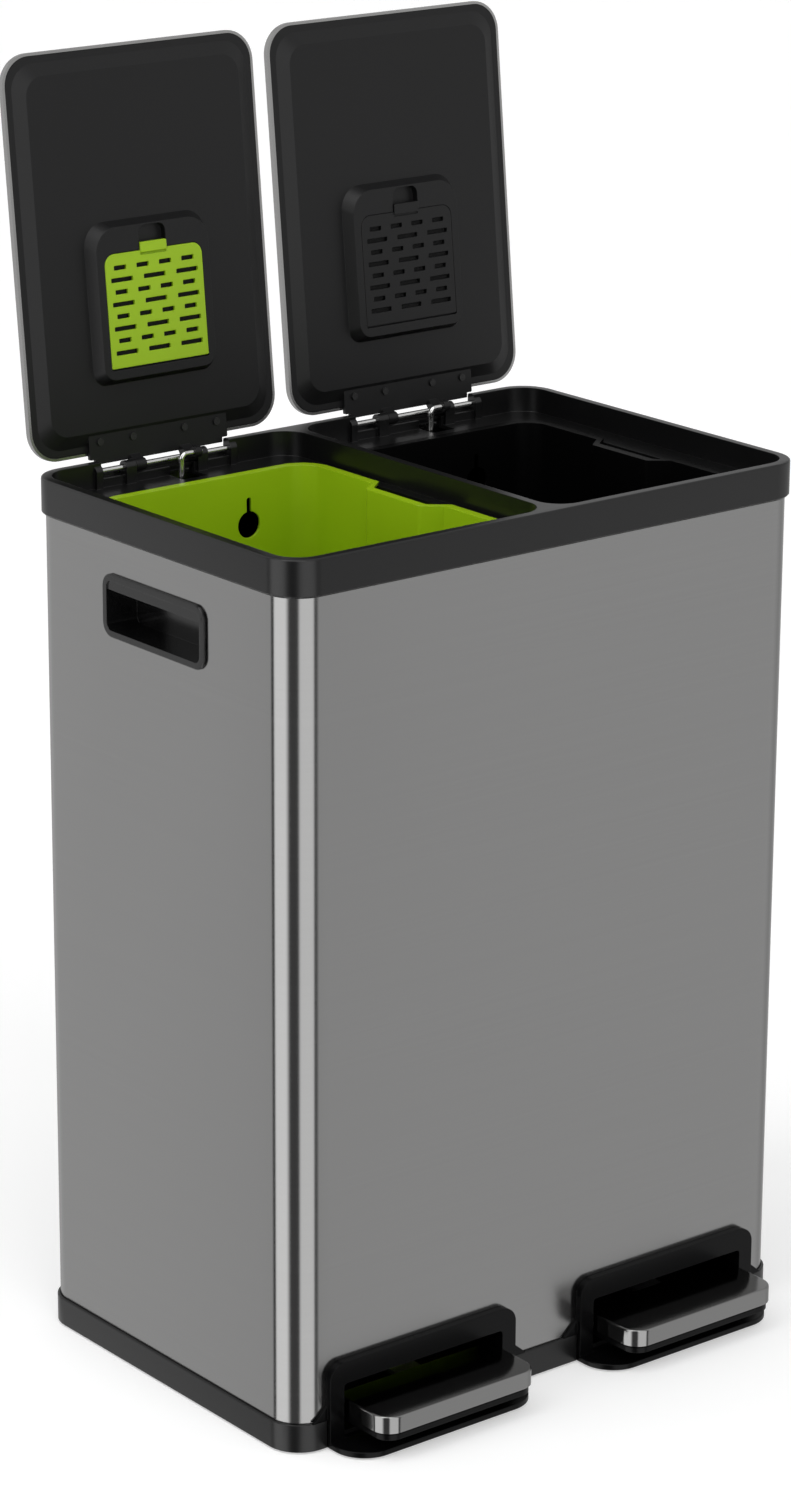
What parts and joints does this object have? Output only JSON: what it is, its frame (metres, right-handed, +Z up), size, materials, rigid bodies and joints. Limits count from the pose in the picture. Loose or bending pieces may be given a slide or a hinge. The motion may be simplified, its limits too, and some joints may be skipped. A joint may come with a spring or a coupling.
{
  "type": "double step bin",
  "caption": "Steel-wrapped step bin with side-by-side lift-out buckets, each under its own lid that a wire rod opens from its own pedal.",
  "frame": {"origin": "middle of the underside of the whole part's box, with both lids open and both pedals down; the four rubber feet stand on z = 0", "axes": "+X to the right as seen from the front, +Y to the rear (hinge side), +Z up; the pedals face -Y"},
  "size_m": [0.45, 0.3824, 0.9111],
  "materials": {
    "brushed_steel": "brushed",
    "black_plastic": "satin",
    "green_plastic": "satin",
    "dark_bucket_plastic": "satin",
    "bright_wire": "polished",
    "zinc_steel": "zinc plated",
    "dark_screws": "black oxide",
    "foot_rubber": "matte",
    "charcoal_pad": "felt"
  },
  "bodies": {
    "bin": {"body_shell": "brushed_steel", "top_rim": "black_plastic", "base_tray": "black_plastic", "rubber_feet": "foot_rubber", "bracket_screws": "dark_screws", "handle_insert_left": "black_plastic", "pedal_bezel_left": "black_plastic", "lever_bracket_left": "zinc_steel", "lever_pin_left": "bright_wire", "rod_guide_left": "black_plastic", "hinge_pin_left": "bright_wire", "handle_insert_right": "black_plastic", "pedal_bezel_right": "black_plastic", "lever_bracket_right": "zinc_steel", "lever_pin_right": "bright_wire", "rod_guide_right": "black_plastic", "hinge_pin_right": "bright_wire"},
    "lid_left": {"lid_skin_left": "brushed_steel", "lid_liner_left": "black_plastic", "lid_screws_left": "dark_screws", "filter_pad_left": "charcoal_pad"},
    "filter_cover_left": {"filter_cover_left": "green_plastic"},
    "push_rod_left": {"push_rod_left": "bright_wire"},
    "pedal_left": {"pedal_cover_left": "brushed_steel", "pedal_core_left": "black_plastic", "pedal_lever_left": "zinc_steel"},
    "bucket_left": {"bucket_left": "green_plastic"},
    "lid_right": {"lid_skin_right": "brushed_steel", "lid_liner_right": "black_plastic", "lid_screws_right": "dark_screws", "filter_pad_right": "charcoal_pad"},
    "filter_cover_right": {"filter_cover_right": "dark_bucket_plastic"},
    "push_rod_right": {"push_rod_right": "bright_wire"},
    "pedal_right": {"pedal_cover_right": "brushed_steel", "pedal_core_right": "black_plastic", "pedal_lever_right": "zinc_steel"},
    "bucket_right": {"bucket_right": "dark_bucket_plastic"}
  },
  "joints": [
    {"name": "lid_left", "type": "hinge", "parent": "bin", "child": "lid_left", "pos_m": [-0.112, 0.14683, 0.6235], "axis": [-1, 0, 0], "range_deg": [-96, 0]},
    {"name": "push_rod_left", "type": "hinge", "parent": "lid_left", "child": "push_rod_left", "pos_m": [-0.112, 0.13587, 0.62838], "axis": [-1, 0, 0], "range_deg": [0, 96]},
    {"name": "pedal_left", "type": "hinge", "parent": "bin", "child": "pedal_left", "pos_m": [-0.112, -0.03717, 0.032], "axis": [1, 0, 0], "range_deg": [-5.4, 0]},
    {"name": "filter_cover_left", "type": "hinge", "parent": "lid_left", "child": "filter_cover_left", "pos_m": [-0.112, 0.1502, 0.69383], "axis": [-1, 0, 0], "range_deg": [-75, 0]},
    {"name": "bucket_left", "type": "slide", "parent": "bin", "child": "bucket_left", "axis": [0, 0, 1], "range_m": [0, 0.6]},
    {"name": "lid_right", "type": "hinge", "parent": "bin", "child": "lid_right", "pos_m": [0.112, 0.14683, 0.6235], "axis": [-1, 0, 0], "range_deg": [-96, 0]},
    {"name": "push_rod_right", "type": "hinge", "parent": "lid_right", "child": "push_rod_right", "pos_m": [0.112, 0.13587, 0.62838], "axis": [-1, 0, 0], "range_deg": [0, 96]},
    {"name": "pedal_right", "type": "hinge", "parent": "bin", "child": "pedal_right", "pos_m": [0.112, -0.03717, 0.032], "axis": [1, 0, 0], "range_deg": [-5.4, 0]},
    {"name": "filter_cover_right", "type": "hinge", "parent": "lid_right", "child": "filter_cover_right", "pos_m": [0.112, 0.1502, 0.69383], "axis": [-1, 0, 0], "range_deg": [-75, 0]},
    {"name": "bucket_right", "type": "slide", "parent": "bin", "child": "bucket_right", "axis": [0, 0, 1], "range_m": [0, 0.6]}
  ],
  "couplings": [
    {"joint": "push_rod_left", "follows": "lid_left", "ratio": -1},
    {"joint": "pedal_left", "follows": "lid_left", "ratio": 0.05625},
    {"joint": "push_rod_right", "follows": "lid_right", "ratio": -1},
    {"joint": "pedal_right", "follows": "lid_right", "ratio": 0.05625}
  ]
}
